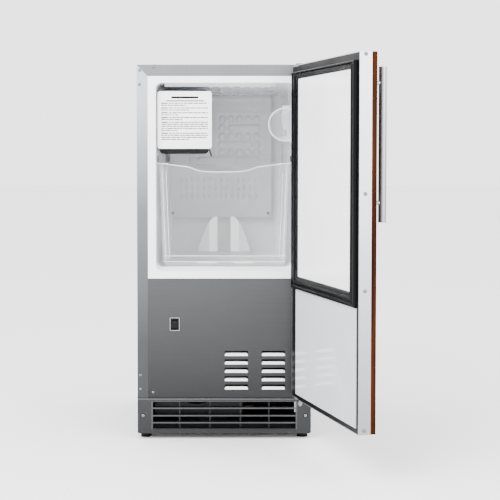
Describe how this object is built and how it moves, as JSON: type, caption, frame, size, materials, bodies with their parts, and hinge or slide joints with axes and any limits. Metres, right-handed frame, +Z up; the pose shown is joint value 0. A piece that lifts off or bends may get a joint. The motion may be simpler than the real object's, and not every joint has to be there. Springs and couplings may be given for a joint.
{
  "type": "built-in ice maker",
  "caption": "Built-in automatic ice maker: insulated cabinet, hinged door with overlay panel and tube pull, ice-making module, clear bin and scoop.",
  "frame": {"origin": "on the floor under the middle of the cabinet's front flange plane", "axes": "+Z up, -Y out of the cabinet's front, +X to the hinge side on the viewer's right"},
  "size_m": [0.4865, 0.8215, 0.8003],
  "materials": {
    "stainless": "satin grey sheet",
    "grey_sheet": "satin grey paint",
    "galvanised": "galvanised sheet",
    "bright_steel": "bright plated steel",
    "white_plastic": "glossy white",
    "black_plastic": "matt black",
    "clear_plastic": "clear moulded plastic",
    "foam": "rigid foam",
    "aluminium": "bare aluminium",
    "copper": "drawn copper",
    "rubber": "soft black",
    "black_metal": "gloss black enamel",
    "wood": "stained reddish brown",
    "silver": "satin silver",
    "handle_steel": "satin steel tube"
  },
  "bodies": {
    "cabinet": {"base_pan": "galvanised", "cabinet_wrap": "stainless", "case_screws": "bright_steel", "compartment_deck": "galvanised", "compressor": "black_metal", "compressor_mounts": "rubber", "condenser_coil": "black_metal", "control_box": "galvanised", "cord_gland": "black_plastic", "evaporator_plate": "aluminium", "fan_motor": "galvanised", "fan_shroud": "black_plastic", "fill_cup": "white_plastic", "filter_drier": "copper", "front_panel": "grey_sheet", "hinge_brackets": "galvanised", "hinge_pins": "bright_steel", "ice_stripper": "black_plastic", "icemaker_bracket": "galvanised", "icemaker_cover": "white_plastic", "icemaker_housing": "black_plastic", "icemaker_mould": "aluminium", "inner_liner": "white_plastic", "insulation_foam": "foam", "kick_louvre": "black_plastic", "kick_plate": "grey_sheet", "liner_fixings": "bright_steel", "mould_heater": "bright_steel", "rear_cover": "galvanised", "rear_panel": "galvanised", "refrigerant_lines": "copper", "scoop_hook": "white_plastic", "switch_bezel": "black_plastic", "terminal_cover": "black_plastic", "water_tube": "white_plastic", "water_valve": "white_plastic"},
    "door": {"wood_panel": "wood", "door_skin": "galvanised", "door_edge_free": "silver", "door_edge_channel": "silver", "door_inner_frame": "grey_sheet", "door_foam": "foam", "door_window_panel": "white_plastic", "door_lower_panel": "white_plastic", "door_gasket": "rubber", "door_edge_screws": "bright_steel", "handle_bar": "handle_steel", "handle_posts": "handle_steel", "door_hinge_plates": "galvanised", "hinge_bushes": "black_plastic"},
    "ice_bin": {"ice_bin": "clear_plastic"},
    "scoop": {"ice_scoop": "clear_plastic"},
    "rocker": {"switch_rocker": "black_plastic"},
    "rake": {"ejector_rake": "black_plastic"},
    "arm": {"shutoff_arm": "bright_steel"},
    "fan": {"fan_blade": "black_plastic"},
    "foot_front_left": {"levelling_foot_front_left": "rubber"},
    "foot_front_right": {"levelling_foot_front_right": "rubber"},
    "foot_rear_left": {"levelling_foot_rear_left": "rubber"},
    "foot_rear_right": {"levelling_foot_rear_right": "rubber"}
  },
  "joints": [
    {"name": "door_hinge", "type": "hinge", "parent": "cabinet", "child": "door", "pos_m": [0.174, -0.037, 0], "axis": [0, 0, 1], "range_deg": [-105.6, 14.4]},
    {"name": "bin_slide", "type": "slide", "parent": "cabinet", "child": "ice_bin", "axis": [0, -1, 0], "range_m": [0, 0.06]},
    {"name": "scoop_lift", "type": "slide", "parent": "cabinet", "child": "scoop", "axis": [-1, 0, 0], "range_m": [0, 0.05]},
    {"name": "power_rocker", "type": "hinge", "parent": "cabinet", "child": "rocker", "pos_m": [-0.106, 0.0025, 0.247], "axis": [1, 0, 0], "range_deg": [-12, 0]},
    {"name": "rake_turn", "type": "hinge", "parent": "cabinet", "child": "rake", "pos_m": [-0.1, 0.1, 0.69], "axis": [0, 1, 0], "continuous": true},
    {"name": "arm_lift", "type": "hinge", "parent": "cabinet", "child": "arm", "pos_m": [-0.046, 0.1, 0.658], "axis": [0, 1, 0], "range_deg": [-40, 0]},
    {"name": "fan_spin", "type": "hinge", "parent": "cabinet", "child": "fan", "pos_m": [-0.06, 0.11, 0.12], "axis": [0, 1, 0], "continuous": true},
    {"name": "foot_front_left_screw", "type": "slide", "parent": "cabinet", "child": "foot_front_left", "axis": [0, 0, -1], "range_m": [0, 0.012]},
    {"name": "foot_front_right_screw", "type": "slide", "parent": "cabinet", "child": "foot_front_right", "axis": [0, 0, -1], "range_m": [0, 0.012]},
    {"name": "foot_rear_left_screw", "type": "slide", "parent": "cabinet", "child": "foot_rear_left", "axis": [0, 0, -1], "range_m": [0, 0.012]},
    {"name": "foot_rear_right_screw", "type": "slide", "parent": "cabinet", "child": "foot_rear_right", "axis": [0, 0, -1], "range_m": [0, 0.012]}
  ]
}
